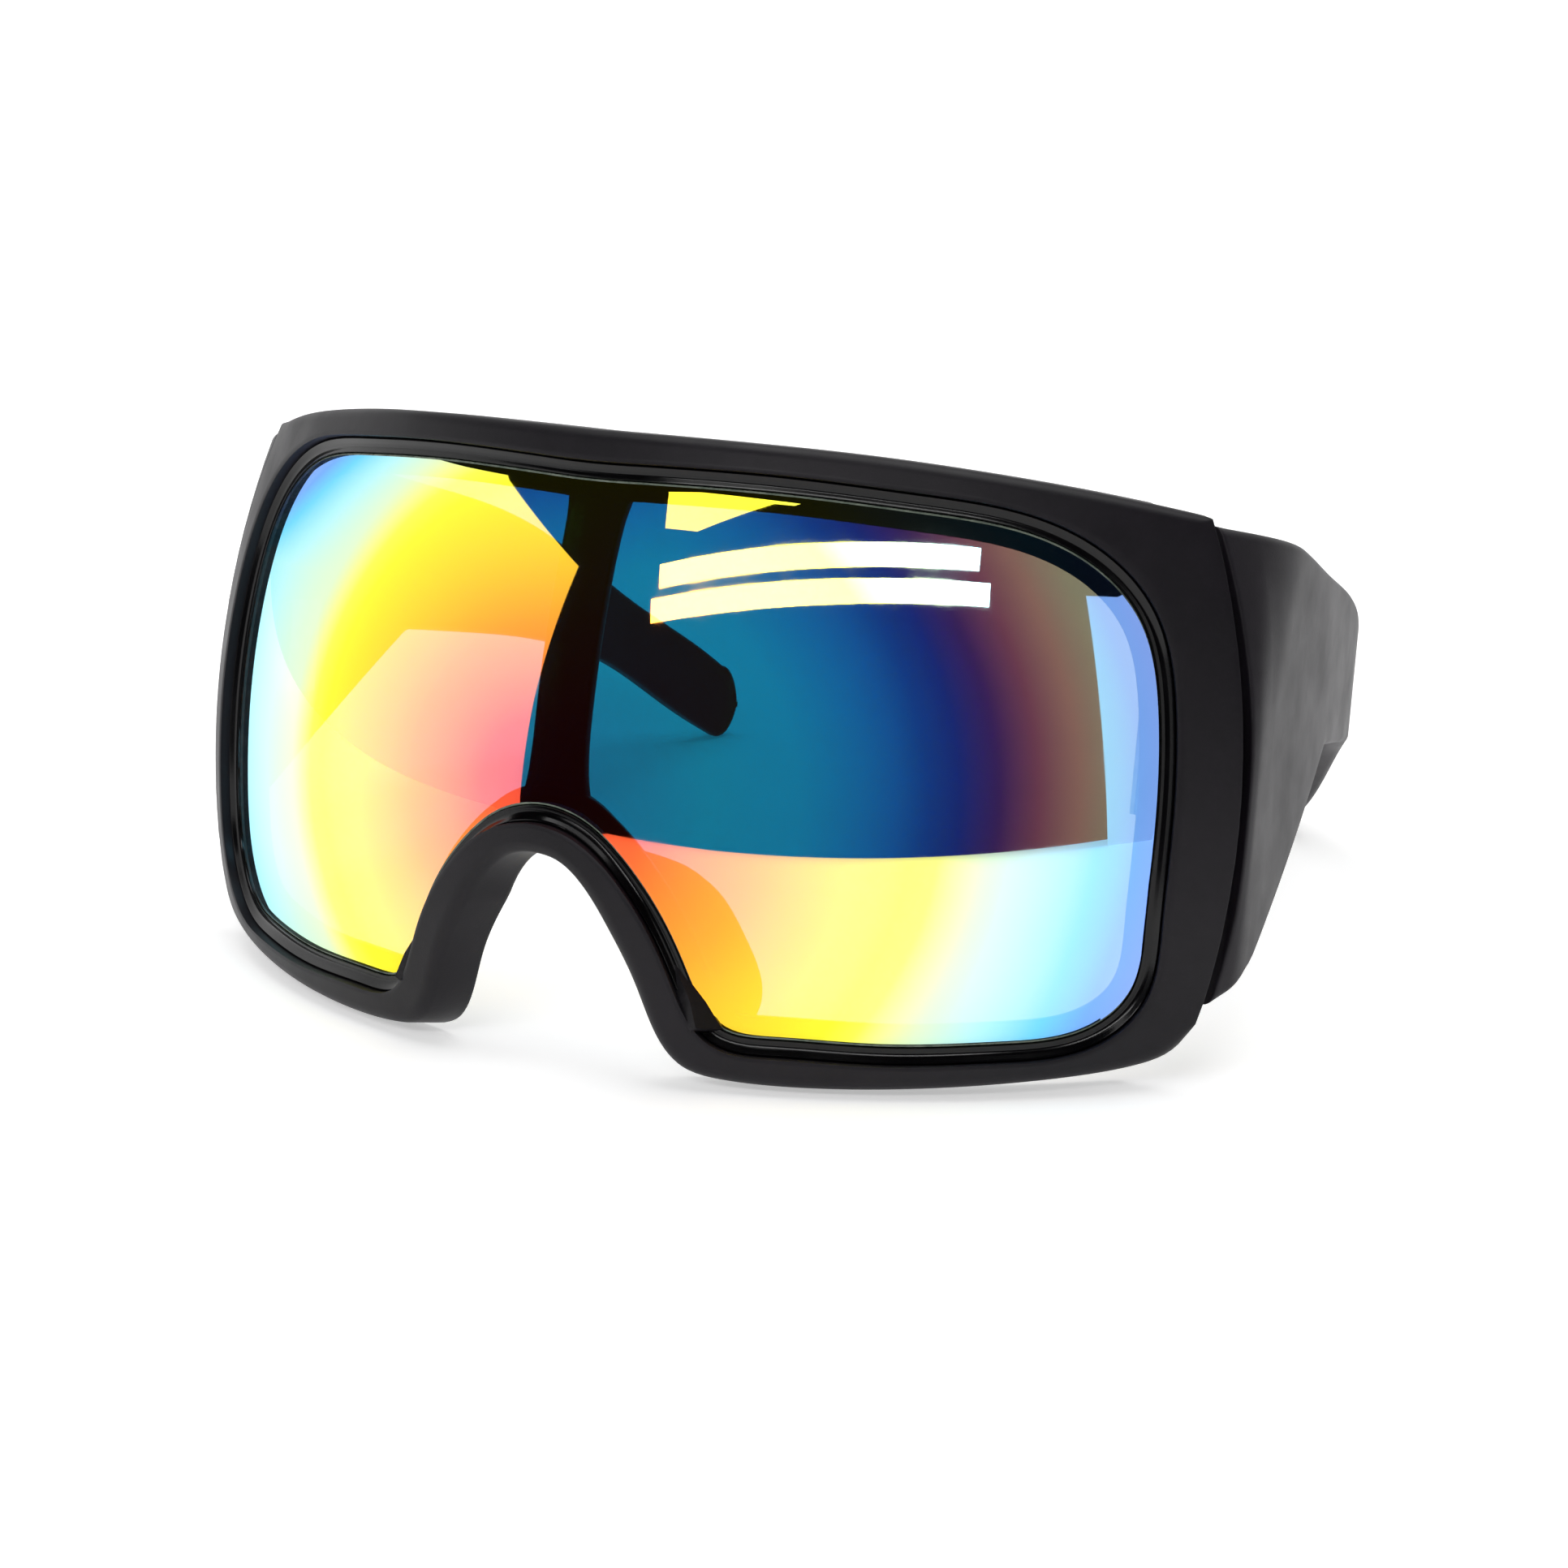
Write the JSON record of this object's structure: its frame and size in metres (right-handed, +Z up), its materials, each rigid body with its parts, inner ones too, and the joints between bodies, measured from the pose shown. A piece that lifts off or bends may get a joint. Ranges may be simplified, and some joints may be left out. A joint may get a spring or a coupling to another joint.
{
  "type": "wrap-around shield glasses",
  "caption": "Wrap-around shield glasses with one mirrored lens, a full rim, tall solid side panels and folding temples that taper to ear hooks.",
  "frame": {"origin": "on the plane of symmetry, where the rim's lower edge rests on the surface", "axes": "+X to the wearer's left, +Y back along the temples, +Z up from the surface"},
  "size_m": [0.1439, 0.1399, 0.0698],
  "materials": {
    "frame_plastic": "fine satin moulding grain",
    "temple_plastic": "fine satin moulding grain",
    "rim_plastic": "smooth gloss black",
    "lens": "rainbow mirror coating on tinted polycarbonate",
    "nose_pad": "soft matt",
    "hinge_steel": "brushed",
    "screw_steel": "turned"
  },
  "bodies": {
    "front": {"front_frame": "frame_plastic", "lens_rim": "rim_plastic", "shield_lens": "lens", "nose_pad_left": "nose_pad", "front_hinge_left": "hinge_steel", "hinge_screw_left": "screw_steel", "front_leaf_screws_left": "screw_steel", "nose_pad_right": "nose_pad", "front_hinge_right": "hinge_steel", "hinge_screw_right": "screw_steel", "front_leaf_screws_right": "screw_steel"},
    "left_temple": {"temple_left": "temple_plastic", "temple_hinge_left": "hinge_steel", "temple_leaf_screws_left": "screw_steel"},
    "right_temple": {"temple_right": "temple_plastic", "temple_hinge_right": "hinge_steel", "temple_leaf_screws_right": "screw_steel"}
  },
  "joints": [
    {"name": "left_temple_fold", "type": "hinge", "parent": "front", "child": "left_temple", "pos_m": [0.0623, 0.02531, 0.03426], "axis": [0, 0.1994, 0.9799], "range_deg": [-19.5, 62.5]},
    {"name": "right_temple_fold", "type": "hinge", "parent": "front", "child": "right_temple", "pos_m": [-0.0623, 0.02531, 0.03426], "axis": [0, -0.1994, -0.9799], "range_deg": [0, 90]}
  ]
}
